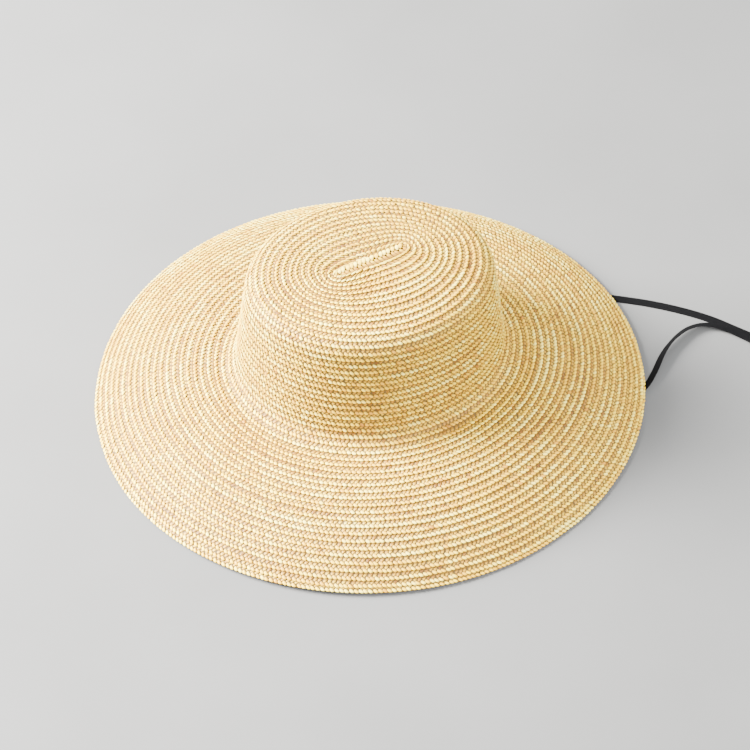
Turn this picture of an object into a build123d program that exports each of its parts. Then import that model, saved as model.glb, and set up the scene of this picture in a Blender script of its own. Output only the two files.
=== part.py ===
"""Wide-brimmed sun hat sewn from plaited wheat straw, with two flat tie ribbons.

Millimetres. +Z is up. The hat stands on its brim edge on the plane z = 0, centred on the Z axis.
The back of the head points along +Y and the wearer's right ear along +X.

Every round of the hat is an ellipse about the Z axis. The outer face is one meridian, a chain of
tangent arcs and one straight line that starts at the coil's first round and ends at the brim edge.
The meridian gives, at each distance along it, how far the round has grown and how high it lies.
"""

import os
from math import atan2, ceil, cos, degrees, radians, sin, sqrt, tan

from build123d import *

# ---- straw body --------------------------------------------------------------------------
strip_half_length = 27.0  # first round of the coil, along the head
strip_half_width = 11.0  # first round of the coil, across the head
rounding_share = 0.019  # the rounds grow this much faster across the head than along it
straw_thickness = 1.8  # two layers of lapped plait

top_reach = 51.5  # growth of the round over the slightly domed top
top_edge_slope = 12.0  # degrees below level where the top turns into the shoulder
shoulder_radius = 16.0
wall_slope = 82.0  # degrees below level, so the wall leans in a little towards the top
wall_length = 63.0
break_radius = 14.0  # hollow curve between the wall and the brim
brim_inner_slope = 3.0  # degrees below level at the inner edge of the brim
brim_edge_slope = 40.0  # degrees below level at the outer edge of the brim
brim_length = 102.0  # measured along the face
brim_split = 0.5  # share of the brim that the inner length of plait covers

edge_lift = 2.4  # the brim edge rises and falls by this much on its way round
edge_lobes = 3
edge_lift_azimuth = 84.0  # degrees from +X to the middle of one raised stretch

# ---- cut end of the plait, turned under --------------------------------------------------
tail_azimuths = (196.0, 214.0)
tail_inset = 8.0  # from the brim edge to the middle of the tail
tail_width = 4.6
tail_tip_width = 1.2
tail_thickness = 1.0
sewn_gap = 0.1  # between pieces sewn against each other
strip_gap = 0.3  # round the start strip

# ---- sweatband ---------------------------------------------------------------------------
band_height = 32.0
band_thickness = 0.8
band_gap = 0.4  # between the band and the narrowest round of the wall it covers
band_drop = 9.0  # how far the band runs below the straight part of the wall
lap_half_angle = 7.0  # degrees of the closing lap each side of the back
stitch_count = 72
stitch_length = 4.0
stitch_thread = 0.45
stitch_inset = 3.0  # from the band's lower edge

# ---- tie ribbons -------------------------------------------------------------------------
ribbon_width = 7.0
ribbon_thickness = 0.8
floor_gap = 0.1
anchor_height = 14.0
anchor_thickness = 1.6
anchor_rise = 2.0  # from the band's lower edge down to the anchor's lower edge
tack_threads = 3
tack_spacing = 1.6
tack_length = 5.0

coil_radius = 38.0  # to the middle of the rolled-up length
coil_width = 6.0
coil_height = 7.2
left_coil_centre = (40.7, 342.4)
right_coil_centre = (133.3, 307.3)

floor_run = floor_gap + ribbon_thickness / 2

# The first points of each route, in the vertical plane through its ear: distance in from the
# anchor, and height. They are followed by points on the floor plan, with their heights.
drop_route = [(0.8, 18.5), (18.0, floor_run), (39.5, floor_run)]
left_route = [
    (-28.5, 18.0, floor_run),
    (-30.0, 43.0, floor_run),
    (-36.5, 70.0, floor_run),
    (-42.5, 98.0, floor_run),
    (-46.0, 125.5, floor_run),
    (-44.0, 152.0, floor_run),
    (-37.0, 178.0, floor_run),
    (-24.0, 203.5, floor_run),
    (-7.0, 232.0, floor_run),
    (16.5, 261.0, floor_run),
    (39.0, 279.0, floor_run),
    (59.9, 296.7, floor_run),
    (72.0, 313.0, floor_run),
    (75.5, 326.5, floor_run),
]
right_route = [
    (28.0, 17.5, floor_run),
    (27.5, 40.0, floor_run),
    (34.0, 64.0, floor_run),
    (45.0, 88.0, floor_run),
    (58.5, 112.0, floor_run),
    (71.5, 138.0, floor_run),
    (78.5, 165.0, 0.9),
    (69.7, 189.3, 1.1),
    (56.0, 203.0, 3.5),
    (42.5, 214.5, 6.8),
    (32.0, 228.0, 7.0),
    (24.0, 245.0, 4.6),
    (26.5, 262.0, 2.7),
    (41.0, 277.0, 2.1),
    (61.0, 291.0, 2.0),
    (82.0, 307.5, 1.7),
    (98.5, 325.0, 1.4),
    (111.0, 338.1, 1.2),
]


# ---- meridian ----------------------------------------------------------------------------


def arc_length(turn_degrees, radius):
    return radians(turn_degrees) * radius


top_radius = top_reach / sin(radians(top_edge_slope))

# (length along the face, slope at the start, slope at the end), from the coil's first round outwards
spans = [
    (arc_length(top_edge_slope, top_radius), 0.0, top_edge_slope),
    (arc_length(wall_slope - top_edge_slope, shoulder_radius), top_edge_slope, wall_slope),
    (wall_length, wall_slope, wall_slope),
    (arc_length(wall_slope - brim_inner_slope, break_radius), wall_slope, brim_inner_slope),
    (brim_length, brim_inner_slope, brim_edge_slope),
]
span_ends = [sum(length for length, _, _ in spans[: count + 1]) for count in range(len(spans))]
top_end, shoulder_end, wall_end, break_end, brim_end = span_ends


def span_step(length, first_slope, last_slope, distance):
    """Growth, drop and slope after a distance along one arc or line."""
    first = radians(first_slope)
    turn = radians(last_slope - first_slope)
    if turn == 0:
        return distance * cos(first), distance * sin(first), first
    radius = length / turn
    slope = first + distance / radius
    return radius * (sin(slope) - sin(first)), radius * (cos(first) - cos(slope)), slope


def walk(distance):
    """Growth and drop from the coil's first round, and slope, at a distance along the meridian."""
    growth = 0.0
    drop = 0.0
    slope = 0.0
    left = distance
    for length, first_slope, last_slope in spans:
        grown, dropped, slope = span_step(length, first_slope, last_slope, min(left, length))
        growth += grown
        drop += dropped
        left -= length
        if left <= 0:
            break
    return growth, drop, slope


total_drop = walk(brim_end)[1]
edge_face_height = straw_thickness * cos(radians(brim_edge_slope))
total_height = total_drop + edge_face_height


def edge_wave(azimuth, distance):
    """How far the brim is raised at an azimuth: nothing at the break, all of it at the edge."""
    share = max(0.0, (distance - break_end) / brim_length)
    swing = (1 + cos(radians(edge_lobes * (azimuth - edge_lift_azimuth)))) / 2
    return edge_lift * swing * share**2


def round_radius(growth, azimuth):
    """Distance from the Z axis to the round that has grown by this much."""
    along = strip_half_length + growth * (1 - rounding_share)
    across = strip_half_width + growth * (1 + rounding_share)
    angle = radians(azimuth)
    return along * across / sqrt((along * cos(angle)) ** 2 + (across * sin(angle)) ** 2)


def face_point(distance, azimuth, depth=0.0):
    """Point at a depth below the outer face."""
    growth, drop, slope = walk(distance)
    radius = round_radius(growth - depth * sin(slope), azimuth)
    height = total_height - drop - depth * cos(slope) + edge_wave(azimuth, distance)
    return Vector(radius * cos(radians(azimuth)), radius * sin(radians(azimuth)), height)


# ---- shells ------------------------------------------------------------------------------

contact_azimuth = edge_lift_azimuth - 180.0 / edge_lobes
section_step = 15.0
fine_section_step = 6.0  # round the pointed ends of the coil's first round
station_step = 7.0


def stations(first, last):
    count = max(3, ceil((last - first) / station_step))
    return [first + (last - first) * step / count for step in range(count + 1)]


def section_wire(outer_points, inner_points):
    """Closed outline of a shell in one upright plane: outer face, edge, inner face, edge."""
    edges = [
        Spline(*outer_points),
        Line(outer_points[-1], inner_points[-1]),
        Spline(*reversed(inner_points)),
        Line(inner_points[0], outer_points[0]),
    ]
    return Wire(edges)


def shell_section(first, last, azimuth, outer_depth, inner_depth):
    outer = [face_point(distance, azimuth, outer_depth) for distance in stations(first, last)]
    inner = [face_point(distance, azimuth, inner_depth) for distance in stations(first, last)]
    return section_wire(outer, inner)


def shell_round(section_at, angle_step=section_step):
    """A closed round shell, lofted in two halves through sections at equal angles."""
    steps = round(180.0 / angle_step)
    halves = []
    for start in (contact_azimuth, contact_azimuth + 180.0):
        azimuths = [start + angle_step * step for step in range(steps + 1)]
        halves.append(Solid.make_loft([section_at(azimuth) for azimuth in azimuths]))
    return halves[0].fuse(halves[1])


def braid_shell(first, last, angle_step=section_step):
    def section_at(azimuth):
        return shell_section(first, last, azimuth, 0.0, straw_thickness)

    return shell_round(section_at, angle_step)


def make_start_strip():
    """The plug of plait in the middle of the crown, a flat oval inside the coil's first round."""
    outline = Ellipse(strip_half_width - strip_gap, strip_half_length - strip_gap)
    return Pos(0, 0, total_height - straw_thickness) * extrude(outline, straw_thickness)


def make_tail():
    """The last of the plait, narrowing as it goes and sewn under the brim near the edge."""
    first, last = tail_azimuths
    middle = brim_end - tail_inset
    wires = []
    count = 4
    for step in range(count + 1):
        share = step / count
        half = (tail_width + (tail_tip_width - tail_width) * share) / 2
        azimuth = first + (last - first) * share
        near = straw_thickness + sewn_gap
        wires.append(shell_section(middle - half, middle + half, azimuth, near, near + tail_thickness))
    return Solid.make_loft(wires)


# ---- sweatband ---------------------------------------------------------------------------

wall_growth, wall_drop, wall_angle = walk(wall_end)
band_foot = total_height - wall_drop - band_drop
band_top = band_foot + band_height
wall_lean = 1 / tan(wall_angle)
wall_inner_growth = wall_growth - straw_thickness / sin(wall_angle)


def band_growth(height, depth):
    """Growth of a round that lies a depth inside the band's outer face, at a height."""
    wall_foot = total_height - wall_drop
    return wall_inner_growth - band_gap - depth - (height - wall_foot) * wall_lean


def band_point(height, azimuth, depth):
    radius = round_radius(band_growth(height, depth), azimuth)
    return Vector(radius * cos(radians(azimuth)), radius * sin(radians(azimuth)), height)


def band_section(azimuth, depth, thickness):
    corners = [
        band_point(band_foot, azimuth, depth),
        band_point(band_top, azimuth, depth),
        band_point(band_top, azimuth, depth + thickness),
        band_point(band_foot, azimuth, depth + thickness),
    ]
    return Wire(Polyline(*corners, close=True).edges())


def make_sweatband():
    return shell_round(lambda azimuth: band_section(azimuth, 0.0, band_thickness))


def make_lap():
    depth = band_thickness + sewn_gap
    azimuths = [90.0 + lap_half_angle * share for share in (-1.0, -0.5, 0.0, 0.5, 1.0)]
    return Solid.make_loft([band_section(azimuth, depth, band_thickness) for azimuth in azimuths])


def stitch_is_clear(azimuth):
    """True away from the lap at the back and from the two ribbon anchors."""
    anchor_half_angle = degrees(atan2(ribbon_width, band_growth(band_foot, 0.0)))
    from_back = abs(azimuth - 90.0)
    from_right = min(azimuth, 360.0 - azimuth)
    from_left = abs(azimuth - 180.0)
    return from_back > lap_half_angle + 3.0 and min(from_right, from_left) > anchor_half_angle


def make_band_stitches():
    """A row of short straight stitches on the inside of the band, near its lower edge."""
    stitches = []
    height = band_foot + stitch_inset
    for number in range(stitch_count):
        azimuth = 360.0 * (number + 0.5) / stitch_count
        if not stitch_is_clear(azimuth):
            continue
        middle = band_point(height, azimuth, band_thickness + sewn_gap + stitch_thread / 2)
        ahead = band_point(height, azimuth + 1.0, band_thickness + sewn_gap + stitch_thread / 2)
        heading = degrees(atan2(ahead.Y - middle.Y, ahead.X - middle.X))
        stitch = Box(stitch_length, stitch_thread, stitch_thread)
        stitches.append(Pos(*middle) * Rot(0, 0, heading) * stitch)
    return Compound(children=stitches)


# ---- tie ribbons -------------------------------------------------------------------------

band_face = round_radius(band_growth(band_foot, band_thickness), 0.0)
anchor_foot = band_foot - anchor_rise
anchor_outer = band_face - sewn_gap - anchor_height * wall_lean
anchor_middle = anchor_outer - anchor_thickness / 2


def make_anchor(side):
    """The ribbon's end, folded double and sewn flat on the inside of the band at one ear."""
    block = Box(anchor_thickness, ribbon_width, anchor_height)
    return Pos(side * anchor_middle, 0, anchor_foot + anchor_height / 2) * block


def make_tacks(side):
    """Short stitches that hold the anchor."""
    reach = anchor_outer - anchor_thickness - sewn_gap - stitch_thread / 2
    threads = []
    for number in range(tack_threads):
        height = anchor_foot + anchor_height / 2 + (number - (tack_threads - 1) / 2) * tack_spacing
        threads.append(Pos(side * reach, 0, height) * Box(stitch_thread, tack_length, stitch_thread))
    return Compound(children=threads)


def corner_radii(points):
    """Largest arc that each corner's two runs allow."""
    vectors = [Vector(*point) for point in points]
    radii = []
    for before, corner, after in zip(vectors, vectors[1:], vectors[2:]):
        run_in = corner - before
        run_out = after - corner
        turn = run_in.get_angle(run_out)
        radii.append(0.45 * min(run_in.length, run_out.length) / tan(radians(turn) / 2))
    return radii


def rounded_path(name, points):
    radii = corner_radii(points)
    path = FilletPolyline(*points, radius=radii)
    print(name, "length", round(path.length, 1), "radii", [round(radius) for radius in radii])
    return path


def flat_section(start, towards, width_direction):
    """The ribbon's cross section, square to the start of its path."""
    heading = Vector(*towards) - Vector(*start)
    plane = Plane(origin=start, x_dir=width_direction, z_dir=heading.normalized())
    return plane * Rectangle(ribbon_width, ribbon_thickness)


def make_ribbon(name, side, route):
    """The ribbon's free stretch: a drop from the anchor in one upright plane, then its run out."""
    points = [(side * anchor_middle, 0.0, anchor_foot)]
    points += [(side * (anchor_middle - inward), 0.0, height) for inward, height in drop_route]
    points += route
    path = rounded_path(name, points)
    ribbon = sweep(flat_section(points[0], points[1], (0, 1, 0)), path=path)
    ideal = path.length * ribbon_width * ribbon_thickness
    box = ribbon.bounding_box()
    print(name, "volume", round(ribbon.volume), "of", round(ideal), "lowest", round(box.min.Z, 2))
    return ribbon


def make_coil(centre):
    """Outer shape of the ribbon's rolled-up length, standing on its edge."""
    ring = Circle(coil_radius + coil_width / 2) - Circle(coil_radius - coil_width / 2)
    return Pos(centre[0], centre[1], 0) * extrude(ring, coil_height)


# ---- nodes -------------------------------------------------------------------------------

brim_middle = break_end + brim_length * brim_split

nodes = {
    "braid_start_strip": make_start_strip(),
    "crown_top_braid": braid_shell(0.0, top_end, fine_section_step),
    "crown_shoulder_braid": braid_shell(top_end, shoulder_end),
    "crown_wall_braid": braid_shell(shoulder_end, wall_end),
    "crown_foot_braid": braid_shell(wall_end, break_end),
    "inner_brim_braid": braid_shell(break_end, brim_middle),
    "outer_brim_braid": braid_shell(brim_middle, brim_end),
    "braid_tail": make_tail(),
    "sweatband": make_sweatband(),
    "sweatband_lap": make_lap(),
    "sweatband_stitches": make_band_stitches(),
    "right_tie_anchor": make_anchor(1),
    "left_tie_anchor": make_anchor(-1),
    "right_anchor_tacks": make_tacks(1),
    "left_anchor_tacks": make_tacks(-1),
    "right_tie_ribbon": make_ribbon("right", 1, right_route),
    "left_tie_ribbon": make_ribbon("left", -1, left_route),
    "right_tie_coil": make_coil(right_coil_centre),
    "left_tie_coil": make_coil(left_coil_centre),
}

os.makedirs("parts", exist_ok=True)
for node, shape in nodes.items():
    export_step(shape, "parts/" + node + ".step")
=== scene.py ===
"""Straw sun hat: rows of sewn wheat-straw plait, a cloth sweatband and two black tie ribbons.

The shapes are worked out in millimetres as numpy arrays, and each mesh is written in metres.
+Z is up, the back of the head points along +Y and the wearer's right ear along +X.
"""
import math
from functools import partial

import bpy
import numpy as np
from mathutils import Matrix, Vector


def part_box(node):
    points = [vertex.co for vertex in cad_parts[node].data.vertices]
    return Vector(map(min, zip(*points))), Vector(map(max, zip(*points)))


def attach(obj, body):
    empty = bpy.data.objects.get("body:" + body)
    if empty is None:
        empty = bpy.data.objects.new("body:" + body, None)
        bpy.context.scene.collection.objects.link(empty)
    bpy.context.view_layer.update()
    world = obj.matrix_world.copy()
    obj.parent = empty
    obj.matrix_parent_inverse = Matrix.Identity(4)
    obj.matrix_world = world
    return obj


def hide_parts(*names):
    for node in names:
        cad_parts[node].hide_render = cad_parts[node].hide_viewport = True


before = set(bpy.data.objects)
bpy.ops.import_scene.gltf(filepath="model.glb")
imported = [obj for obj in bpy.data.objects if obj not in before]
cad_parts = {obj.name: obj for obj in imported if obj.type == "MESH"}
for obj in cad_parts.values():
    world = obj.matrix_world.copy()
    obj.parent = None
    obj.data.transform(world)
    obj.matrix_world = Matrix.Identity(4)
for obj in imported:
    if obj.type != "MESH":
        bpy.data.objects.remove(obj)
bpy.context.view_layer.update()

METRE = 0.001  # one millimetre in metres
TURN = 2.0 * math.pi

# ---- camera and light ------------------------------------------------------------------------

CAMERA_DISTANCE = 2000.0  # millimetres, as all lengths here unless a line says metres
CAMERA_ELEVATION = math.radians(47.8)
CAMERA_AZIMUTH = math.radians(-19.0)
VIEW_WIDTH = 550.875  # what the view takes in from side to side at the camera's distance
SENSOR_WIDTH = 36.0
SIGHT_LIMIT = 20.0  # metres
AIM_RIGHT = 3.3
AIM_UP = 8.3

# ---- the hat's outer face --------------------------------------------------------------------

STRIP_HALF_LENGTH = 27.0
STRIP_HALF_WIDTH = 11.0
ROUNDING_SHARE = 0.019
STRAW_THICKNESS = 1.8
TOP_REACH = 51.5
TOP_EDGE_SLOPE = 12.0
SHOULDER_RADIUS = 16.0
WALL_SLOPE = 82.0
WALL_LENGTH = 63.0
BREAK_RADIUS = 14.0
BRIM_INNER_SLOPE = 3.0
BRIM_EDGE_SLOPE = 40.0
BRIM_LENGTH = 102.0
EDGE_LIFT = 2.4
EDGE_LOBES = 3
EDGE_LIFT_AZIMUTH = math.radians(84.0)
COIL_TWIST = math.radians(11.0)  # the first rounds are turned this far from the head's long axis
COIL_TWIST_REACH = 45.0
CENTRE_START = -7.4  # the first row leaves the edge of the start strip
CENTRE_STRETCH = 8.5  # the first rounds are this much longer than the plain ellipse
CENTRE_STRETCH_FADE = 22.0
CENTRE_FLATNESS = 0.9  # added to the ellipse's power of 2 at the centre, for blunter ends
FLATNESS_REACH = 30.0

span_lengths = [
    TOP_REACH / math.sin(math.radians(TOP_EDGE_SLOPE)) * math.radians(TOP_EDGE_SLOPE),
    SHOULDER_RADIUS * math.radians(WALL_SLOPE - TOP_EDGE_SLOPE),
    WALL_LENGTH,
    BREAK_RADIUS * math.radians(WALL_SLOPE - BRIM_INNER_SLOPE),
    BRIM_LENGTH,
]
span_ends = np.concatenate([[0.0], np.cumsum(span_lengths)])
span_slopes = np.radians(
    [0.0, TOP_EDGE_SLOPE, WALL_SLOPE, WALL_SLOPE, BRIM_INNER_SLOPE, BRIM_EDGE_SLOPE]
)
TOP_END, SHOULDER_END, WALL_END, BREAK_END, BRIM_END = span_ends[1:]

CENTRE_REACH = 9.0  # the rounds inside the first one shrink by up to this much
walk_step = 0.1
walk_distance = np.arange(-CENTRE_REACH, BRIM_END + walk_step, walk_step)
walk_slope = np.interp(walk_distance, span_ends, span_slopes)


def running_total(values, steps):
    """Trapezoid sum of the values from the first one up to each one."""
    middles = (values[1:] + values[:-1]) / 2.0 * steps
    return np.concatenate([[0.0], np.cumsum(middles)])


walk_growth = running_total(np.cos(walk_slope), walk_step)
walk_growth -= np.interp(0.0, walk_distance, walk_growth)
walk_drop = running_total(np.sin(walk_slope), walk_step)
TOTAL_HEIGHT = walk_drop[-1] + STRAW_THICKNESS * math.cos(math.radians(BRIM_EDGE_SLOPE))


def round_point(growth, azimuth, height):
    """Point on the oval that has grown by this much, at an azimuth and a height.

    The oval is where the sum of the two scaled coordinates, each to a power, is one. The power is
    2 over most of the hat, and a little more in the first rounds, which are stretched as well.
    """
    near = CENTRE_STRETCH * np.exp((CENTRE_START - growth) / CENTRE_STRETCH_FADE)
    along = STRIP_HALF_LENGTH + growth * (1.0 - ROUNDING_SHARE) + near
    across = STRIP_HALF_WIDTH + growth * (1.0 + ROUNDING_SHARE)
    twist = COIL_TWIST * np.clip(1.0 - growth / COIL_TWIST_REACH, 0.0, 1.0) ** 2
    closeness = (FLATNESS_REACH - growth) / (FLATNESS_REACH - CENTRE_START)
    power = 2.0 + CENTRE_FLATNESS * np.clip(closeness, 0.0, 1.0)
    turned = azimuth - twist
    first = np.abs(np.cos(turned) / across) ** power
    second = np.abs(np.sin(turned) / along) ** power
    radius = (first + second) ** (-1.0 / power)
    return np.stack([radius * np.cos(azimuth), radius * np.sin(azimuth), height], axis=-1)


def face_point(distance, azimuth, lift):
    """Point on the hat's outer face, raised off it by lift.

    The round there has grown by the meridian's growth plus lift times the sine of the slope, and
    lies below the top by the meridian's drop less lift times the cosine of the slope.
    """
    slope = np.interp(distance, walk_distance, walk_slope)
    growth = np.interp(distance, walk_distance, walk_growth) + lift * np.sin(slope)
    share = np.maximum(0.0, (distance - BREAK_END) / BRIM_LENGTH)
    swing = (1.0 + np.cos(EDGE_LOBES * (azimuth - EDGE_LIFT_AZIMUTH))) / 2.0
    height = TOTAL_HEIGHT - np.interp(distance, walk_distance, walk_drop)
    height = height + lift * np.cos(slope) + EDGE_LIFT * swing * share**2
    return round_point(np.maximum(growth, -CENTRE_REACH), azimuth, height)


# ---- meshes ----------------------------------------------------------------------------------


def new_piece(name, points, faces, replaces=()):
    """A smooth mesh object from points in millimetres and a list of faces, riding on the hat."""
    mesh = bpy.data.meshes.new(name)
    mesh.from_pydata((points.reshape(-1, 3) * METRE).tolist(), [], faces)
    mesh.polygons.foreach_set("use_smooth", np.ones(len(mesh.polygons), bool))
    mesh.update()
    piece = bpy.data.objects.new(name, mesh)
    bpy.context.scene.collection.objects.link(piece)
    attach(piece, "root")
    if replaces:
        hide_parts(*replaces)
    return piece


def set_numbers(piece, name, values):
    """One number for each vertex, for a material to read."""
    attribute = piece.data.attributes.new(name, "FLOAT", "POINT")
    attribute.data.foreach_set("value", np.asarray(values, np.float32).ravel())


def grid_faces(rows, columns, wrap_rows=False, wrap_columns=False):
    """Quads between neighbouring points of a rows by columns grid, closed up where it wraps."""
    row = np.arange(rows if wrap_rows else rows - 1)
    column = np.arange(columns if wrap_columns else columns - 1)
    r, c = np.meshgrid(row, column, indexing="ij")
    nr, nc = (r + 1) % rows, (c + 1) % columns
    corners = [r * columns + c, nr * columns + c, nr * columns + nc, r * columns + nc]
    return np.stack(corners, axis=-1).reshape(-1, 4)


def carried_faces(count, section, closed=False):
    """Faces of a section carried to count places: its sides, and two end faces if it is open."""
    faces = grid_faces(count, section, wrap_rows=closed, wrap_columns=True)[:, ::-1].tolist()
    if not closed:
        faces.append(list(range(section)))
        faces.append(list(range((count - 1) * section, count * section))[::-1])
    return faces


# ---- materials -------------------------------------------------------------------------------


class Wire:
    """A shader socket that takes part in ordinary arithmetic."""

    def __init__(self, finish, socket):
        self.finish = finish
        self.socket = socket

    def maths(self, operation, *values):
        inputs = dict(enumerate(values))
        return self.finish.node("Math", {"operation": operation}, inputs)

    def __add__(self, other):
        return self.maths("ADD", self, other)

    def __sub__(self, other):
        return self.maths("SUBTRACT", self, other)

    def __rsub__(self, other):
        return self.maths("SUBTRACT", other, self)

    def __mul__(self, other):
        return self.maths("MULTIPLY", self, other)

    def __pow__(self, other):
        return self.maths("POWER", self, other)

    def clamped(self):
        return self.finish.node(
            "Math", {"operation": "ADD", "use_clamp": True}, {0: self, 1: 0.0}
        )

    __radd__ = __add__
    __rmul__ = __mul__


class Finish:
    """A material under construction. Its nodes come from node(), all but the output that shade()
    adds.
    """

    def __init__(self, name):
        self.material = bpy.data.materials.new(name)
        self.material.use_nodes = True
        self.tree = self.material.node_tree
        self.tree.nodes.clear()

    def node(self, kind, settings=None, inputs=None, output=0):
        made = self.tree.nodes.new("ShaderNode" + kind)
        for name, value in (settings or {}).items():
            if name == "stops":
                ramp = made.color_ramp
                while len(ramp.elements) < len(value):
                    ramp.elements.new(1.0)
                for element, (position, colour) in zip(ramp.elements, value):
                    element.position = position
                    element.color = (*colour, 1.0)
            else:
                setattr(made, name, value)
        for name, value in (inputs or {}).items():
            if isinstance(value, Wire):
                self.tree.links.new(value.socket, made.inputs[name])
            else:
                made.inputs[name].default_value = value
        return Wire(self, made.outputs[output])

    def number(self, name):
        return self.node("Attribute", {"attribute_name": name}, output="Fac")

    def place(self):
        return self.node("TexCoord", output="Object")

    def noise(self, vector, scale, detail=2.0, roughness=0.5):
        inputs = {"Vector": vector, "Scale": scale, "Detail": detail, "Roughness": roughness}
        return self.node("TexNoise", None, inputs)

    def vector(self, x, y, z):
        return self.node("CombineXYZ", None, {0: x, 1: y, 2: z})

    def blend(self, share, first, second):
        inputs = {0: share, 6: first, 7: second}
        return self.node("Mix", {"data_type": "RGBA"}, inputs, output=2)

    def ramp(self, share, stops):
        return self.node("ValToRGB", {"stops": stops}, {0: share})

    def bump(self, height, strength, distance):
        inputs = {"Height": height, "Strength": strength, "Distance": distance}
        return self.node("Bump", None, inputs)


def shade(finish, **inputs):
    """Ends a material with the Principled shader and its output."""
    names = {name.replace("_", " "): value for name, value in inputs.items()}
    shader = finish.node("BsdfPrincipled", None, names)
    output = finish.tree.nodes.new("ShaderNodeOutputMaterial")
    finish.tree.links.new(shader.socket, output.inputs[0])
    return finish.material


def ribs_of(way, pitch):
    """A wave from 0 to 1 that repeats at each pitch, in millimetres, of a way over the cloth."""
    return (way.maths("SINE", way * (TURN / pitch)) + 1.0) * 0.5


# painted shade: the colour that the cells' sides and ends are mixed towards, as if in shadow
SHADOW_STRAW = (0.12, 0.050, 0.003, 1.0)
STRAW_GLOSS = (1.0, 0.86, 0.46, 1.0)
STRAW_STOPS = [
    (0.0, (0.16, 0.050, 0.014)),
    (0.05, (0.32, 0.115, 0.010)),
    (0.14, (0.57, 0.265, 0.012)),
    (0.34, (0.68, 0.362, 0.010)),
    (0.56, (0.79, 0.462, 0.009)),
    (0.80, (0.92, 0.625, 0.024)),
    (1.0, (1.0, 0.820, 0.150)),
]
THREAD_STOPS = [(0.3, (0.62, 0.52, 0.36)), (0.7, (0.86, 0.78, 0.62))]
BAND_STOPS = [(0.2, (0.56, 0.47, 0.34)), (0.8, (0.78, 0.70, 0.56))]
RIBBON_STOPS = [(0.2, (0.0012, 0.0012, 0.0014)), (0.8, (0.0030, 0.0030, 0.0034))]
# painted shade: the dark colour of the straw seen in the gaps between cells
CORE_SHADE_STOPS = [(0.3, (0.06, 0.034, 0.004)), (0.7, (0.13, 0.074, 0.009))]
FLOOR_STOPS = [(0.3, (0.096, 0.0965, 0.0945)), (0.7, (0.108, 0.1085, 0.1065))]
STREAKS_ACROSS = 9.0  # how fast a straw's streaks change over its width, and along it
STREAKS_ALONG = 0.9
STREAK_CHANGE = 40.0  # how far the streaks differ from one tone of straw to another
# how strongly the painted shade darkens the cells' sides and ends
RIM_PAINTED_SHADE = 0.87
BAND_RIB_PITCH = 1.1
BAND_YARN_PITCH = 0.45
RIBBON_RIB_PITCH = 0.7


def straw_material():
    """Glossy split wheat straw: a tone for each cell, streaks along the straw, and painted shade
    on the cells' sides and ends.
    """
    finish = Finish("wheat_straw")
    tone = finish.number("tone")
    rim = finish.number("rim")
    across = finish.number("across")
    along = finish.number("along")
    streak_place = finish.vector(
        across * STREAKS_ACROSS, along * STREAKS_ALONG, tone * STREAK_CHANGE
    )
    streak = finish.noise(streak_place, 1.0, 3.0)
    blotch = finish.noise(finish.place(), 55.0, 3.0, 0.6)
    shade_share = (tone + (streak - 0.5) * 0.5 + (blotch - 0.5) * 0.45).clamped()
    colour = finish.ramp(shade_share, STRAW_STOPS)
    # painted shade: each cell's sides and ends are mixed towards the shadow colour
    colour = finish.blend((rim * RIM_PAINTED_SHADE).clamped(), colour, SHADOW_STRAW)
    rough = 0.30 + (streak - 0.5) * 0.3 + rim * 0.3
    bump = finish.bump(streak, 0.25, 0.0002)
    return shade(
        finish, Base_Color=colour, Roughness=rough, Normal=bump, Specular_IOR_Level=0.4,
        Specular_Tint=STRAW_GLOSS,
    )


def thread_material():
    """Sewing thread: pale cotton with a fine, uneven twist."""
    finish = Finish("sewing_thread")
    twist = finish.noise(finish.place(), 2600.0)
    colour = finish.ramp(twist, THREAD_STOPS)
    return shade(
        finish, Base_Color=colour, Roughness=0.75, Normal=finish.bump(twist, 0.5, 0.0001)
    )


def band_material():
    """Cotton grosgrain: ribs up the band, crossed by fine yarns, a little soiled in patches."""
    finish = Finish("sweatband_cloth")
    ribs = ribs_of(finish.number("round_way"), BAND_RIB_PITCH)
    yarns = ribs_of(finish.number("up_way"), BAND_YARN_PITCH)
    patches = finish.noise(finish.place(), 45.0, 3.0)
    share = (ribs * 0.45 + yarns * 0.15 + patches * 0.4).clamped()
    colour = finish.ramp(share, BAND_STOPS)
    height = ribs * 0.8 + yarns * 0.2
    return shade(
        finish, Base_Color=colour, Roughness=0.85, Normal=finish.bump(height, 0.6, 0.0003),
        Sheen_Weight=0.2,
    )


def ribbon_material():
    """Black grosgrain ribbon: fine cross ribs, a little wear, and duller woven edges."""
    finish = Finish("black_ribbon")
    width_way = finish.number("width_way")
    ribs = ribs_of(finish.number("length_way"), RIBBON_RIB_PITCH)
    edge = (width_way * width_way) ** 6.0
    wear = finish.noise(finish.place(), 160.0, 3.0)
    share = (ribs * 0.5 + wear * 0.5).clamped()
    colour = finish.ramp(share, RIBBON_STOPS)
    rough = 0.72 + wear * 0.15 + edge * 0.1
    return shade(
        finish, Base_Color=colour, Roughness=rough, Normal=finish.bump(ribs, 0.5, 0.0002),
        Specular_IOR_Level=0.05,
    )


def gap_shade_material():
    """The inner layer of straw that shows only in the gaps between cells, coloured dark as painted
    shade in the gaps.
    """
    finish = Finish("gap_shade_straw")
    grain = finish.noise(finish.place(), 420.0, 3.0)
    colour = finish.ramp(grain, CORE_SHADE_STOPS)
    return shade(finish, Base_Color=colour, Roughness=0.8, Normal=finish.bump(grain, 0.3, 0.0003))


def floor_material():
    """A plain pale matt floor with a faint, broad unevenness of tone."""
    finish = Finish("pale_floor")
    grain = finish.noise(finish.place(), 6.0, 4.0)
    colour = finish.ramp(grain, FLOOR_STOPS)
    return shade(finish, Base_Color=colour, Roughness=0.9)


# ---- camera ----------------------------------------------------------------------------------


def way_out(azimuth, elevation):
    """Unit vector from the origin towards an azimuth and an elevation."""
    level = math.cos(elevation)
    return Vector((level * math.cos(azimuth), level * math.sin(azimuth), math.sin(elevation)))


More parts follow.
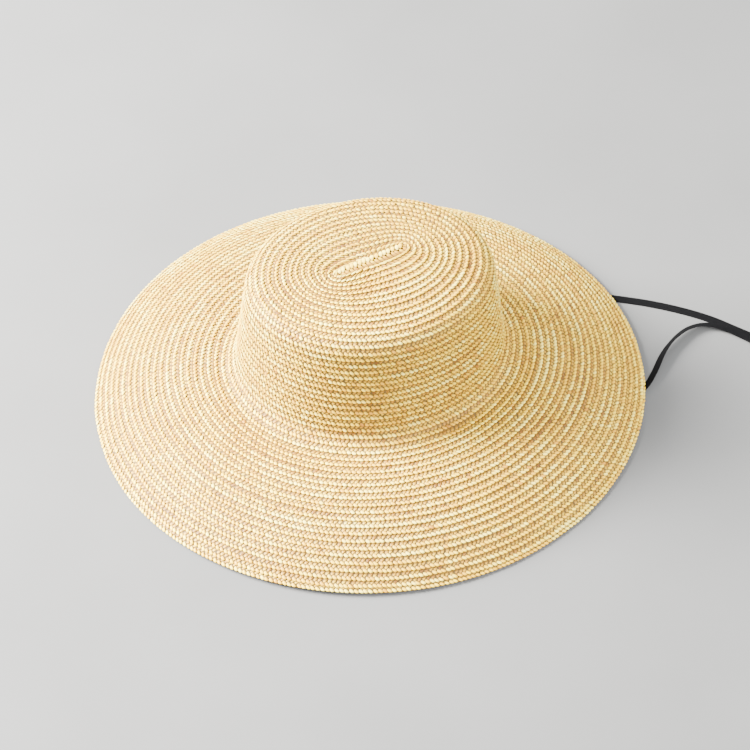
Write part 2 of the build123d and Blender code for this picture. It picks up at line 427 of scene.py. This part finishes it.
def make_camera():
    """Stands on the viewing line through the origin and aims a little up and right of it."""
    out = way_out(CAMERA_AZIMUTH, CAMERA_ELEVATION)
    right = Vector((-math.sin(CAMERA_AZIMUTH), math.cos(CAMERA_AZIMUTH), 0.0))
    up = out.cross(right)
    aim = (right * AIM_RIGHT + up * AIM_UP) * METRE
    place = out * CAMERA_DISTANCE * METRE
    data = bpy.data.cameras.new("camera")
    data.lens = SENSOR_WIDTH * CAMERA_DISTANCE / VIEW_WIDTH
    data.sensor_width = SENSOR_WIDTH
    data.clip_end = SIGHT_LIMIT
    camera = bpy.data.objects.new("camera", data)
    camera.location = place
    camera.rotation_euler = (aim - place).to_track_quat("-Z", "Y").to_euler()
    bpy.context.scene.collection.objects.link(camera)
    bpy.context.scene.camera = camera


make_camera()

# ---- tie ribbons -----------------------------------------------------------------------------

RIBBON_WIDTH = 7.0
RIBBON_THICKNESS = 0.45
RIBBON_LENGTH = 680.0
anchor_low, anchor_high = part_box("right_tie_anchor")
ANCHOR_MIDDLE = (anchor_low.x + anchor_high.x) / 2.0 / METRE
ANCHOR_FOOT = anchor_low.z / METRE
RIBBON_CLEARANCE = 0.08  # least height of a ribbon's underside above the floor
FLOOR_RUN = 0.5
ON_EDGE = 3.65  # height of the middle of a ribbon that stands on its edge
COIL_RADIUS = 38.0
COIL_TURNS = 1.2
COIL_STEPS = 16  # points of the route for each turn
COIL_TIGHTENING = 1.6  # what the radius loses in a turn, once it starts to tighten
COIL_EVEN_TURNS = 0.6
LEFT_COIL = (40.7, 342.4)
RIGHT_COIL = (133.3, 307.3)
CURVE_STEPS = 10  # points read from the curve for each point of the route
RIBBON_SECTION = 12  # points round the ribbon's cross section
SECTION_WIDE_POWER = 0.7  # under 1, the section is fuller than an ellipse
SECTION_THICK_POWER = 0.5

# How far in from the anchor, and how high, each point of the drop to the floor lies.
drop_route = [(0.8, 18.5), (18.0, FLOOR_RUN), (39.5, FLOOR_RUN)]
left_route = [
    (-28.5, 18.0, FLOOR_RUN),
    (-30.0, 43.0, FLOOR_RUN),
    (-36.5, 70.0, FLOOR_RUN),
    (-42.5, 98.0, FLOOR_RUN),
    (-46.0, 125.5, FLOOR_RUN),
    (-44.0, 152.0, FLOOR_RUN),
    (-37.0, 178.0, FLOOR_RUN),
    (-24.0, 203.5, FLOOR_RUN),
    (-7.0, 232.0, FLOOR_RUN),
    (16.5, 261.0, FLOOR_RUN),
    (39.0, 279.0, FLOOR_RUN),
    (59.9, 296.7, FLOOR_RUN),
    (72.0, 313.0, 1.6),
    (75.5, 326.5, 3.2),
]
right_route = [
    (28.0, 17.5, FLOOR_RUN),
    (27.5, 40.0, FLOOR_RUN),
    (34.0, 64.0, FLOOR_RUN),
    (45.0, 88.0, FLOOR_RUN),
    (58.5, 112.0, FLOOR_RUN),
    (71.5, 138.0, FLOOR_RUN),
    (78.5, 165.0, 0.9),
    (69.7, 189.3, 1.1),
    (56.0, 203.0, 3.0),
    (42.5, 214.5, 4.2),
    (32.0, 228.0, 4.6),
    (24.0, 245.0, 3.8),
    (26.5, 262.0, 2.7),
    (41.0, 277.0, 1.8),
    (61.0, 291.0, 1.2),
    (82.0, 307.5, 1.0),
    (98.5, 325.0, 2.0),
    (111.0, 338.1, 3.4),
]

# Degrees of roll at distances along the ribbon: level at 0, and on edge at 90 or -90.
left_rolls = [(0, 0), (395, 0), (440, 90), (700, 90)]
right_rolls = [
    (0, 0), (240, 0), (275, -38), (315, -48), (350, -22), (380, 0), (425, 0), (470, -90),
    (700, -90),
]


def coil_points(centre, first_angle, way):
    """The route's points round the coil, tightening a little so that the end lies inside."""
    count = int(round(COIL_TURNS * COIL_STEPS))
    turns = np.arange(1, count + 1) / COIL_STEPS
    angle = first_angle + way * turns * TURN
    radius = COIL_RADIUS - COIL_TIGHTENING * np.maximum(0.0, turns - COIL_EVEN_TURNS)
    x = centre[0] + radius * np.cos(angle)
    y = centre[1] + radius * np.sin(angle)
    return np.stack([x, y, np.full(count, ON_EDGE)], axis=-1).tolist()


def spline_points(name, points):
    """Points along the smooth curve that the route controls, read from the curve itself."""
    data = bpy.data.curves.new(name + "_route", "CURVE")
    data.dimensions = "3D"
    data.resolution_u = CURVE_STEPS
    spline = data.splines.new("NURBS")
    spline.points.add(len(points) - 1)
    for control, point in zip(spline.points, points):
        control.co = (*(Vector(point) * METRE), 1.0)
    spline.order_u = 3
    spline.use_endpoint_u = True
    curve = bpy.data.objects.new(name + "_route", data)
    line = bpy.data.meshes.new_from_object(curve)
    path = np.array([vertex.co for vertex in line.vertices]) / METRE
    bpy.data.objects.remove(curve)
    bpy.data.meshes.remove(line)
    return path


def along_path(path):
    """Distance along a line of points, and its unit direction at each point."""
    steps = np.linalg.norm(np.diff(path, axis=0), axis=1)
    distance = np.concatenate([[0.0], np.cumsum(steps)])
    direction = np.gradient(path, distance, axis=0)
    direction /= np.linalg.norm(direction, axis=1, keepdims=True)
    return distance, direction


def ribbon_body(name, path, distance, width_way, thick_way, replaces):
    """A ribbon's mesh: its flat section set across each point of a path.

    The section is a circle whose cosine and sine are each raised to a power, keeping their sign,
    and stretched to the ribbon's width and thickness.
    """
    angle = np.arange(RIBBON_SECTION) / RIBBON_SECTION * TURN
    cosine, sine = np.cos(angle), np.sin(angle)
    wide = np.sign(cosine) * np.abs(cosine) ** SECTION_WIDE_POWER
    thick = np.sign(sine) * np.abs(sine) ** SECTION_THICK_POWER
    ring = path[:, None] + width_way[:, None] * (wide * RIBBON_WIDTH / 2.0)[:, None]
    ring = ring + thick_way[:, None] * (thick * RIBBON_THICKNESS / 2.0)[:, None]
    faces = carried_faces(len(path), RIBBON_SECTION)
    piece = new_piece(name, ring, faces, replaces)
    piece.data.materials.append(black_ribbon)
    set_numbers(piece, "length_way", np.repeat(distance, RIBBON_SECTION))
    set_numbers(piece, "width_way", np.tile(wide, len(path)))
    return piece


def make_ribbon(name, side, route, centre, way, rolls, replaces):
    """A tie ribbon: from its anchor along the route and round its coil, cut at its length.

    The width way is the level line across the path, rolled about the path by an angle taken
    between the stations of rolls. The path is lifted where an edge would dip into the floor.
    """
    points = [(side * ANCHOR_MIDDLE, 0.0, ANCHOR_FOOT)]
    points += [(side * (ANCHOR_MIDDLE - inward), 0.0, height) for inward, height in drop_route]
    points += route
    last = np.array(route[-1][:2]) - np.array(centre)
    points += coil_points(centre, math.atan2(last[1], last[0]), way)
    path = spline_points(name, points)
    distance, direction = along_path(path)
    keep = distance <= RIBBON_LENGTH
    path, distance, direction = path[keep], distance[keep], direction[keep]
    level = np.stack([-direction[:, 1], direction[:, 0], np.zeros(len(path))], axis=-1)
    level /= np.linalg.norm(level, axis=1, keepdims=True)
    upward = np.cross(direction, level)
    stations, angles = zip(*rolls)
    roll = np.radians(np.interp(distance, stations, angles))[:, None]
    width_way = level * np.cos(roll) + upward * np.sin(roll)
    thick_way = np.cross(direction, width_way)
    reach = np.abs(width_way[:, 2]) * RIBBON_WIDTH / 2.0
    reach = reach + np.abs(thick_way[:, 2]) * RIBBON_THICKNESS / 2.0
    path[:, 2] += np.maximum(0.0, reach + RIBBON_CLEARANCE - path[:, 2])
    piece = ribbon_body(name, path, distance, width_way, thick_way, replaces)


black_ribbon = ribbon_material()
make_ribbon(
    "left_ribbon", -1, left_route, LEFT_COIL, 1, left_rolls,
    ["left_tie_ribbon", "left_tie_coil"],
)
make_ribbon(
    "right_ribbon", 1, right_route, RIGHT_COIL, -1, right_rolls,
    ["right_tie_ribbon", "right_tie_coil"],
)

# ---- plait -----------------------------------------------------------------------------------

ROW_PITCH = 5.236
ROW_TILT = 1.0  # how much lower a row's inner edge lies than its outer one
ROW_WANDER = 0.7  # how far a row's edge strays from its even course
WANDER_LENGTH = 31.0
STRAWS_IN_PLAIT = 7
CELL_PITCH = 3.3
CELL_WIDTH = 1.14  # in cell pitches, so that neighbours overlap
CELL_JITTER = 0.225  # in cell pitches
CELL_STRAY = 0.10  # in row widths
CROWN_HEIGHT = 0.44
SIDE_TUCK = 0.16  # how far one side of a cell lies below its other side, over two
CELL_SINK = 0.24  # how far a cell's outer end lies below the hat's outer face, before its crown
PLUMP_LEAST = 0.7  # share of the crown's height that the flattest cell has
PLUMP_SPREAD = 0.6
START_POSITIONS = (0.58, 0.52)  # how far in from the row's edge each sub-row's cells start
INNER_REACH = 0.60  # how far the inner sub-row runs on from there, in under the next row
TOOTH_ROUNDING = 0.16
SLANTS = (0.40, 0.38)  # how far a cell leans along the row, in cell pitches
INNER_NARROWNESS = 0.96
TIP_NARROWING = 0.16
MIDDLE_NARROWING = 0.62
MIDDLE_DIPS = (0.40, 0.46)
TOOTH_START = 0.7
TOOTH_DROP = 0.60
INNER_SINK = 0.16
# painted shade on the cells: at the row's middle, along the sides, at the tooth tips, and where
# the next row lies over them
MIDDLE_PAINTED_SHADE = (0.9, 0.7)
SIDE_PAINTED_SHADE = 0.7
TIP_PAINTED_SHADE = 0.15
LAP_SHADE_START = 0.26
LAP_SHADE_RUN = 0.4
UNDER_CROWN = 0.30  # the crown, tuck, tilt and sink that the underside has instead
UNDER_TUCK = 0.14
UNDER_TILT = 0.75
UNDER_RISE = 0.09
UNDER_FOLD = 0.6  # share of the face's folds that the underside has
UNDER_INSET = 0.35  # how far the underside's rows stay back from the face's edge
FLOOR_CLEARANCE = 0.06
END_SINK = 0.5  # how far the last row sinks as it ends
END_SINK_TURNS = 0.30
SPIRAL_END_AZIMUTH = math.radians(214.0)
STEPS_PER_TURN = 720
TURNS = 1.0 + (BRIM_END - CENTRE_START) / ROW_PITCH

path_turns = np.linspace(0.0, TURNS, int(TURNS * STEPS_PER_TURN))


def row_edge(turns):
    """Where a row's outer edge runs: one pitch further out each turn, then along the brim edge."""
    return np.minimum(CENTRE_START + ROW_PITCH * turns, BRIM_END)


def row_azimuth(turns):
    """Azimuth that the spiral has come to after this many turns."""
    return SPIRAL_END_AZIMUTH - (TURNS - turns) * TURN


row_line = face_point(row_edge(path_turns) - ROW_PITCH / 2.0, row_azimuth(path_turns), 0.0)
row_steps = np.linalg.norm(np.diff(row_line, axis=0), axis=1)
row_length = np.concatenate([[0.0], np.cumsum(row_steps)])


def hashed(number, salt):
    """A repeatable spread of numbers from 0 to 1, one for each whole number and salt."""
    mixed = np.sin(number * 12.9898 + salt * 78.233) * 43758.5453
    return mixed - np.floor(mixed)


def smooth_noise(position, salt):
    """Value noise: hashed numbers at whole positions, eased into each other between them."""
    low = np.floor(position)
    share = position - low
    share = share * share * (3.0 - 2.0 * share)
    return hashed(low, salt) * (1.0 - share) + hashed(low + 1.0, salt) * share


# The salt of each thing that varies. A salt that changes with the sub-row has it added.
OWN_TONE_SALT = 1
STRAW_LENGTH_SALT = 5
PATCH_SALT = 21
STRETCH_SALT = 33
CELL_TONE_SALT = 40
WANDER_SALT = 61
RUST_SALT = 77
JITTER_SALT = 91
PLUMP_SALT = 95
STRAY_SALT = 98

TONE_BASE = -0.07
OWN_TONE = 0.20  # how much of the tone comes from the straw, a patch, a stretch and the cell
PATCH_TONE = 0.40
STRETCH_TONE = 0.16
CELL_TONE = 0.42
# painted highlight on the first sub-row, whose teeth catch the light, and painted shade on the
# second, which runs in under the next row
SUB_ROW_HIGHLIGHT_AND_SHADE = (0.22, -0.12)
PATCH_CELLS = 9.0
STRETCH_CELLS = 70.0
STRAW_CELLS = 26.0  # the shortest run of one straw before the next takes over
STRAW_CELLS_SPREAD = 9.0
RUSTY_FROM = 0.993  # of hashed numbers, so that one cell in about 140 is rusty
RUSTY_TONE = 0.25


def cell_tones(number, sub_row):
    """How pale each cell is: its own straw's tone, patches along the row, and some of its own.

    The first sub-row gets a painted highlight and the second a painted shade.
    """
    straw = (number + 3 * sub_row) % STRAWS_IN_PLAIT
    run = STRAW_CELLS + STRAW_CELLS_SPREAD * hashed(straw, STRAW_LENGTH_SALT)
    piece = np.floor((number + 11.0 * straw) / run)
    tone = TONE_BASE + OWN_TONE * hashed(piece * 7.0 + straw, OWN_TONE_SALT + sub_row)
    tone = tone + PATCH_TONE * smooth_noise(number / PATCH_CELLS, PATCH_SALT + sub_row)
    tone = tone + STRETCH_TONE * smooth_noise(number / STRETCH_CELLS, STRETCH_SALT)
    tone = tone + CELL_TONE * hashed(number, CELL_TONE_SALT + sub_row) + SUB_ROW_HIGHLIGHT_AND_SHADE[sub_row]
    rusty = hashed(number, RUST_SALT + sub_row) > RUSTY_FROM
    return np.where(rusty, tone * RUSTY_TONE, np.clip(tone, 0.0, 1.0))


# Shares of a cell's width and length at which its points lie, on the face and on the underside.
ACROSS = np.array([0.0, 0.16, 0.42, 0.70, 0.90, 1.0])
ALONG = np.array([0.0, 0.3, 0.62, 0.86, 1.0])
UNDER_ACROSS = np.array([0.0, 0.25, 0.6, 1.0])
UNDER_ALONG = np.array([0.0, 0.5, 1.0])


def spiral_place(length, position, lift, under=False):
    """Point in the spiral of rows: a length along the rows, a share of a row in from its edge."""
    turns = np.interp(length, row_length, path_turns)
    stray = smooth_noise(length / WANDER_LENGTH, WANDER_SALT) - 0.5
    edge = row_edge(turns) + ROW_WANDER * stray
    if under:
        distance = edge - UNDER_INSET - ROW_PITCH * (1.0 - position)
    else:
        distance = edge - ROW_PITCH * position
        still_to_go = np.clip((TURNS - turns) / END_SINK_TURNS, 0.0, 1.0)
        lift = lift - END_SINK * (1.0 - still_to_go)
    return face_point(distance, row_azimuth(turns), lift)


def plait_cells(numbers, sub_row, across, along, under, place):
    """Points of the plait's cells: short lengths of straw, each a small crowned leaf.

    A cell is a slanted strip between the row's middle and one of its edges, and the two sub-rows
    slant towards each other as a chevron. Its height is the row's own tilt plus a crown across the
    straw, with the sides turned down, one side lower than the other so that it tucks under its
    neighbour, a dip where the sub-rows meet, and the outer end rounded over into a tooth.
    """
    a = across[None, :, None]
    b = along[None, None, :]
    number = numbers[:, None, None].astype(float)
    side = 2.0 * a - 1.0
    crown = np.sqrt(np.maximum(0.0, 1.0 - side**2))
    jitter = (hashed(number, JITTER_SALT + sub_row) - 0.5) * CELL_JITTER
    plump = PLUMP_LEAST + PLUMP_SPREAD * hashed(number, PLUMP_SALT + sub_row)
    stray = (hashed(number, STRAY_SALT + sub_row) - 0.5) * CELL_STRAY
    start = START_POSITIONS[sub_row]
    slant = SLANTS[sub_row] * (b - 0.5)
    middle = (1.0 - b) ** 2
    if sub_row == 0:
        tooth = (np.maximum(0.0, b - TOOTH_START) / (1.0 - TOOTH_START)) ** 2
        rounding = TOOTH_ROUNDING * b**2 * side**2
        position = start * (1.0 - b) + rounding + stray * (1.0 - 0.5 * b)
        narrowing = 1.0 - TIP_NARROWING * b**3 - MIDDLE_NARROWING * middle
        fold = -TOOTH_DROP * tooth - MIDDLE_DIPS[0] * middle
    else:
        position = start + INNER_REACH * b + stray
        narrowing = INNER_NARROWNESS - MIDDLE_NARROWING * middle
        fold = -MIDDLE_DIPS[1] * middle - INNER_SINK
    shift = CELL_PITCH * ((a - 0.5) * CELL_WIDTH * narrowing + slant + jitter)
    length = (number + 0.5 + 0.5 * sub_row) * CELL_PITCH + shift
    if under:
        lift = -STRAW_THICKNESS + UNDER_TILT * (position - 1.0) + UNDER_RISE
        lift = lift - (UNDER_CROWN * crown * plump + UNDER_TUCK * side + fold * UNDER_FOLD)
    else:
        lift = -CELL_SINK - ROW_TILT * position + CROWN_HEIGHT * crown * plump
        lift = lift + SIDE_TUCK * side + fold
    points = place(length, position, lift)
    points[..., 2] = np.maximum(points[..., 2], FLOOR_CLEARANCE)
    return points, side * np.ones_like(b), b * np.ones_like(a)


def cell_painted_shade(side, run, sub_row):
    """Painted shade on a cell: along its two sides, and where it dives under another straw.

    The painted shade grows on the sides by the fourth power of the distance from the cell's
    middle, and at the end at the row's middle by the square of the distance from the other end.
    That other end has painted shade only at its tip in the first sub-row, and over most of the
    cell in the second, where the next row's edge lies over it.
    """
    ends = MIDDLE_PAINTED_SHADE[sub_row] * (1.0 - run) ** 2
    if sub_row == 0:
        ends = ends + TIP_PAINTED_SHADE * run**8
    else:
        ends = ends + np.clip((run - LAP_SHADE_START) / LAP_SHADE_RUN, 0.0, 1.0) ** 2
    return SIDE_PAINTED_SHADE * np.abs(side) ** 4 + ends


def plait_piece(name, numbers, under, place, replaces=(), turned=False):
    """The cells of both sub-rows as one piece, with what its material reads at each point.

    The two sub-rows run opposite ways across the row, so their faces are wound opposite ways
    too. Both are turned over for a place function that is the mirror image of the spiral's.
    """
    across = UNDER_ACROSS if under else ACROSS
    along = UNDER_ALONG if under else ALONG
    points, sides, runs, tones, painted_shades, faces = [], [], [], [], [], []
    size = len(across) * len(along)
    starts = (np.arange(2 * len(numbers)) * size).reshape(2, -1, 1, 1)
    cell_faces = grid_faces(len(across), len(along))
    for sub_row in (0, 1):
        cells, side, run = plait_cells(numbers, sub_row, across, along, under, place)
        points.append(cells)
        backwards = (sub_row == 0) ^ turned
        wound = cell_faces[:, ::-1] if backwards else cell_faces
        faces.append(wound[None] + starts[sub_row])
        shape = cells.shape[:3]
        tone = cell_tones(numbers.astype(float), sub_row)[:, None, None]
        for values, made in (
            (sides, side), (runs, run), (tones, tone), (painted_shades, cell_painted_shade(side, run, sub_row))
        ):
            values.append(np.broadcast_to(made, shape))
    points = np.concatenate(points)
    faces = np.concatenate(faces).reshape(-1, 4).tolist()
    piece = new_piece(name, points, faces, replaces)
    # the painted shade of each point goes to the straw material with the other numbers
    for attribute, values in (("across", sides), ("along", runs), ("tone", tones), ("rim", painted_shades)):
        set_numbers(piece, attribute, np.concatenate(values))
    piece.data.materials.append(wheat_straw)


def make_plait(name, first, last, replaces=(), under=False):
    """All the cells of the rows whose outer edge lies between two distances down the face."""
    numbers = np.arange(int(row_length[-1] / CELL_PITCH) - 1)
    turns = np.interp((numbers + 0.5) * CELL_PITCH, row_length, path_turns)
    unbent = CENTRE_START + ROW_PITCH * turns
    numbers = numbers[(unbent > first) & (unbent <= last)]
    plait_piece(name, numbers, under, partial(spiral_place, under=under), replaces)


STRIP_WIDTH = 8.2
STRIP_LENGTH = 58.0
STRIP_TILT = 0.35
STRIP_FLATTENING = 0.5
STRIP_SINK = 0.08
STRIP_END_SINK = 0.5


def strip_place(length, position, lift):
    """Point on the straight strip in the middle of the crown top, nearly flush with the rows."""
    along = length - STRIP_LENGTH / 2.0
    across = STRIP_WIDTH * (position - 0.5)
    east = across * math.cos(COIL_TWIST) - along * math.sin(COIL_TWIST)
    north = across * math.sin(COIL_TWIST) + along * math.cos(COIL_TWIST)
    endness = (np.abs(along) / STRIP_LENGTH * 2.0) ** 6
    level = STRIP_FLATTENING * lift + STRIP_TILT * position
    level = level - STRIP_SINK - STRIP_END_SINK * endness
    return np.stack([east, north, TOTAL_HEIGHT + level], axis=-1)


wheat_straw = straw_material()
BEFORE_CENTRE = -20.0
CENTRE_END = 1.5  # the rows inside this distance stand for the start strip's node
BRIM_MIDDLE = BREAK_END + BRIM_LENGTH / 2.0
EDGE_ROWS = BRIM_MIDDLE + BRIM_LENGTH / 4.0
FACE_PIECES = [
    ("crown_top_plait", CENTRE_END, TOP_END, ["crown_top_braid"]),
    ("crown_shoulder_plait", TOP_END, SHOULDER_END, ["crown_shoulder_braid"]),
    ("crown_wall_plait", SHOULDER_END, WALL_END, ["crown_wall_braid"]),
    ("crown_foot_plait", WALL_END, BREAK_END, ["crown_foot_braid"]),
    ("inner_brim_plait", BREAK_END, BRIM_MIDDLE, ["inner_brim_braid"]),
    ("outer_brim_plait", BRIM_MIDDLE, EDGE_ROWS, ["outer_brim_braid"]),
    ("brim_edge_plait", EDGE_ROWS, BRIM_END + ROW_PITCH, []),
    ("crown_centre_plait", BEFORE_CENTRE, CENTRE_END, ["braid_start_strip"]),
]
for piece_name, first_distance, last_distance, replaced in FACE_PIECES:
    make_plait(piece_name, first_distance, last_distance, replaced)
plait_piece(
    "start_strip_plait", np.arange(int(STRIP_LENGTH / CELL_PITCH)), False, strip_place,
    turned=True,
)
UNDER_PIECES = [
    ("crown_lining_plait", BEFORE_CENTRE, BREAK_END),
    ("inner_brim_under_plait", BREAK_END, BRIM_MIDDLE),
    ("outer_brim_under_plait", BRIM_MIDDLE, BRIM_END + ROW_PITCH),
]
for piece_name, first_distance, last_distance in UNDER_PIECES:
    make_plait(piece_name, first_distance, last_distance, under=True)

# ---- core of the straw body ------------------------------------------------------------------

CORE_TOP = -1.25
CORE_FOOT = -1.45
CORE_STEP = 2.0
CORE_ROUND_STEPS = 240
CORE_INSET = 1.0  # how far the core stays back from the brim's edge


def make_core():
    """A thin closed shell between the two layers of cells: both faces and both edges joined."""
    last = BRIM_END - CORE_INSET
    distance = np.concatenate([np.arange(-CENTRE_REACH, last, CORE_STEP), [last]])
    azimuth = np.arange(CORE_ROUND_STEPS) / CORE_ROUND_STEPS * TURN
    d = np.concatenate([distance, distance[::-1]])
    lift = np.concatenate([np.full(len(distance), CORE_TOP), np.full(len(distance), CORE_FOOT)])
    points = face_point(d[:, None], azimuth[None, :], lift[:, None])
    faces = grid_faces(len(d), len(azimuth), wrap_rows=True, wrap_columns=True)
    piece = new_piece("straw_core", points, faces.tolist())
    piece.data.materials.append(gap_shade_material())


make_core()

# ---- floor and lights ------------------------------------------------------------------------


FLOOR_REACH = 6.0  # metres
WINDOW_COLOUR = (1.0, 0.985, 0.96)
SKY_COLOUR = (0.95, 0.97, 1.0, 1.0)
SKY_STRENGTH = 1.85


def make_floor():
    """A level square under the hat, far larger than the view."""
    signs = [(-1, -1), (1, -1), (1, 1), (-1, 1)]
    corners = [(x * FLOOR_REACH, y * FLOOR_REACH, 0.0) for x, y in signs]
    mesh = bpy.data.meshes.new("floor")
    mesh.from_pydata(corners, [], [(0, 1, 2, 3)])
    floor = bpy.data.objects.new("floor", mesh)
    mesh.materials.append(floor_material())
    bpy.context.scene.collection.objects.link(floor)


def make_lamp(name, azimuth, elevation, distance, size, power, colour=(1.0, 1.0, 1.0)):
    """A square soft light that faces the hat: angles in degrees, distance and size in metres."""
    out = way_out(math.radians(azimuth), math.radians(elevation))
    data = bpy.data.lights.new(name, "AREA")
    data.shape = "SQUARE"
    data.size = size
    data.energy = power
    data.color = colour
    lamp = bpy.data.objects.new(name, data)
    lamp.location = out * distance
    lamp.rotation_euler = (-out).to_track_quat("-Z", "Y").to_euler()
    bpy.context.scene.collection.objects.link(lamp)


def make_sky():
    """An even, faintly cool light from all sides."""
    world = bpy.data.worlds.new("studio")
    world.use_nodes = True
    background = world.node_tree.nodes["Background"]
    background.inputs["Color"].default_value = SKY_COLOUR
    background.inputs["Strength"].default_value = SKY_STRENGTH
    bpy.context.scene.world = world


make_floor()
make_lamp(
    "window_light", azimuth=243.0, elevation=33.0, distance=1.85, size=0.9, power=690.0,
    colour=WINDOW_COLOUR,
)
make_lamp("fill_light", azimuth=20.0, elevation=42.0, distance=3.0, size=2.5, power=240.0)
make_sky()

# ---- tail of the plait -----------------------------------------------------------------------

TAIL_AZIMUTHS = (math.radians(196.0), math.radians(214.0))
TAIL_INSET = 8.0
TAIL_WIDTHS = (4.6, 1.2)
TAIL_CELLS = 19
TAIL_DEPTH = 0.75  # how far below the hat's inner face the tail's middle lies
TAIL_FLATTENING = 0.6


def tail_place(length, position, lift):
    """Point on the tapered end of the plait, upside down under the brim near its edge."""
    share = np.clip(length / (TAIL_CELLS * CELL_PITCH), 0.0, 1.0)
    width = TAIL_WIDTHS[0] + (TAIL_WIDTHS[1] - TAIL_WIDTHS[0]) * share
    azimuth = TAIL_AZIMUTHS[0] + (TAIL_AZIMUTHS[1] - TAIL_AZIMUTHS[0]) * share
    distance = BRIM_END - TAIL_INSET + (0.5 - position) * width
    depth = TAIL_DEPTH - (lift + STRAW_THICKNESS) * TAIL_FLATTENING
    return face_point(distance, azimuth, -STRAW_THICKNESS - depth)


plait_piece(
    "plait_tail", np.arange(TAIL_CELLS), True, tail_place, ["braid_tail"], turned=True
)

# ---- sweatband -------------------------------------------------------------------------------

BAND_HEIGHT = 32.0
BAND_THICKNESS = 0.8
BAND_GAP = 0.4
SEWN_GAP = 0.1
LAP_HALF_ANGLE = math.radians(7.0)
WALL_LEAN = 1.0 / math.tan(math.radians(WALL_SLOPE))
WALL_FOOT = TOTAL_HEIGHT - np.interp(WALL_END, walk_distance, walk_drop)
WALL_GROWTH = np.interp(WALL_END, walk_distance, walk_growth)
band_inner_growth = WALL_GROWTH - STRAW_THICKNESS / math.sin(math.radians(WALL_SLOPE)) - BAND_GAP
BAND_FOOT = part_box("sweatband")[0].z / METRE
BAND_ROUND_STEPS = 360
LAP_STEPS = 24
OUTER_DEPTH = 0.05
LEAN_IN = 0.4  # how far the free upper edge stands off the wall, before its waves
BROAD_WAVE = 0.35
BROAD_WAVES = 5.0
SMALL_WAVE = 0.2
SMALL_WAVES = 11.0


def band_point(up, azimuth, depth):
    """Point a depth inside the band's outer face, at a height above its lower edge."""
    height = BAND_FOOT + up
    growth = band_inner_growth - depth - (height - WALL_FOOT) * WALL_LEAN
    return round_point(growth, azimuth, height)


def band_outline():
    """Height and depth round the band's section: thin cloth with a turned hem at each edge."""
    up = np.array([0.0, 0.5, 2.4, 2.8, 4.0, 10.0, 16.0, 22.0, 28.0, 29.2, 29.6, 31.5, 32.0])
    hem = np.array([0.55, 0.80, 0.80, 0.55, 0.50, 0.5, 0.5, 0.5, 0.50, 0.55, 0.80, 0.80, 0.55])
    outer = np.stack([up[::-1], np.full(len(up), OUTER_DEPTH)], axis=-1)
    inner = np.stack([up, hem], axis=-1)
    return np.concatenate([inner, outer])


def make_band(name, first, last, count, depth, replaces, closed):
    """The band's section carried round the oval, with its free upper edge waving a little."""
    outline = band_outline()
    azimuth = first + (last - first) * np.arange(count) / (count if closed else count - 1)
    up = outline[None, :, 0]
    wave = BROAD_WAVE * np.sin(azimuth * BROAD_WAVES)[:, None]
    wave = wave + SMALL_WAVE * np.sin(azimuth * SMALL_WAVES + 1.0)[:, None]
    ease = np.clip(up / BAND_HEIGHT, 0.0, 1.0) ** 2
    points = band_point(
        up + np.zeros((count, 1)), azimuth[:, None],
        depth + outline[None, :, 1] + (wave + LEAN_IN) * ease,
    )
    faces = carried_faces(count, len(outline), closed)
    piece = new_piece(name, points, faces, replaces)
    steps = np.linalg.norm(np.diff(points[:, 0], axis=0), axis=1)
    round_way = np.concatenate([[0.0], np.cumsum(steps)])
    set_numbers(piece, "round_way", np.repeat(round_way, len(outline)))
    set_numbers(piece, "up_way", np.tile(outline[:, 0], count))
    piece.data.materials.append(band_cloth)


band_cloth = band_material()
make_band("sweatband_cloth", 0.0, TURN, BAND_ROUND_STEPS, 0.0, ["sweatband"], True)
make_band(
    "sweatband_lap_cloth", math.pi / 2 - LAP_HALF_ANGLE, math.pi / 2 + LAP_HALF_ANGLE,
    LAP_STEPS, BAND_THICKNESS + SEWN_GAP, ["sweatband_lap"], False,
)

# ---- ribbon ends, folded double and sewn to the band -----------------------------------------

FOLD_RADIUS = 0.4  # to the middle of each of the two layers
LAYER_STEPS = 12
FOLD_STEPS = 9


def make_anchor(name, side, replaced):
    """The ribbon's flat section carried up, over a small half circle, and down again."""
    top = anchor_high.z / METRE - FOLD_RADIUS - RIBBON_THICKNESS / 2.0
    up = np.linspace(ANCHOR_FOOT, top, LAYER_STEPS)
    turn = np.linspace(0.0, math.pi, FOLD_STEPS)[1:-1]
    height = np.concatenate([up, top + FOLD_RADIUS * np.sin(turn), up[::-1]])
    half = np.full(len(up), FOLD_RADIUS)
    inward = np.concatenate([half, FOLD_RADIUS * np.cos(turn), -half])
    path = np.stack([side * (ANCHOR_MIDDLE + inward), np.zeros(len(height)), height], axis=-1)
    distance, direction = along_path(path)
    width_way = np.tile([0.0, 1.0, 0.0], (len(path), 1))
    thick_way = np.cross(direction, width_way)
    ribbon_body(name, path, distance, width_way, thick_way, [replaced])


make_anchor("right_ribbon_end", 1, "right_tie_anchor")
make_anchor("left_ribbon_end", -1, "left_tie_anchor")

# ---- carried pieces --------------------------------------------------------------------------

sewing_thread = thread_material()
for node_name in ("sweatband_stitches", "right_anchor_tacks", "left_anchor_tacks"):
    node_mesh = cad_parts[node_name].data
    node_mesh.materials.clear()
    node_mesh.materials.append(sewing_thread)
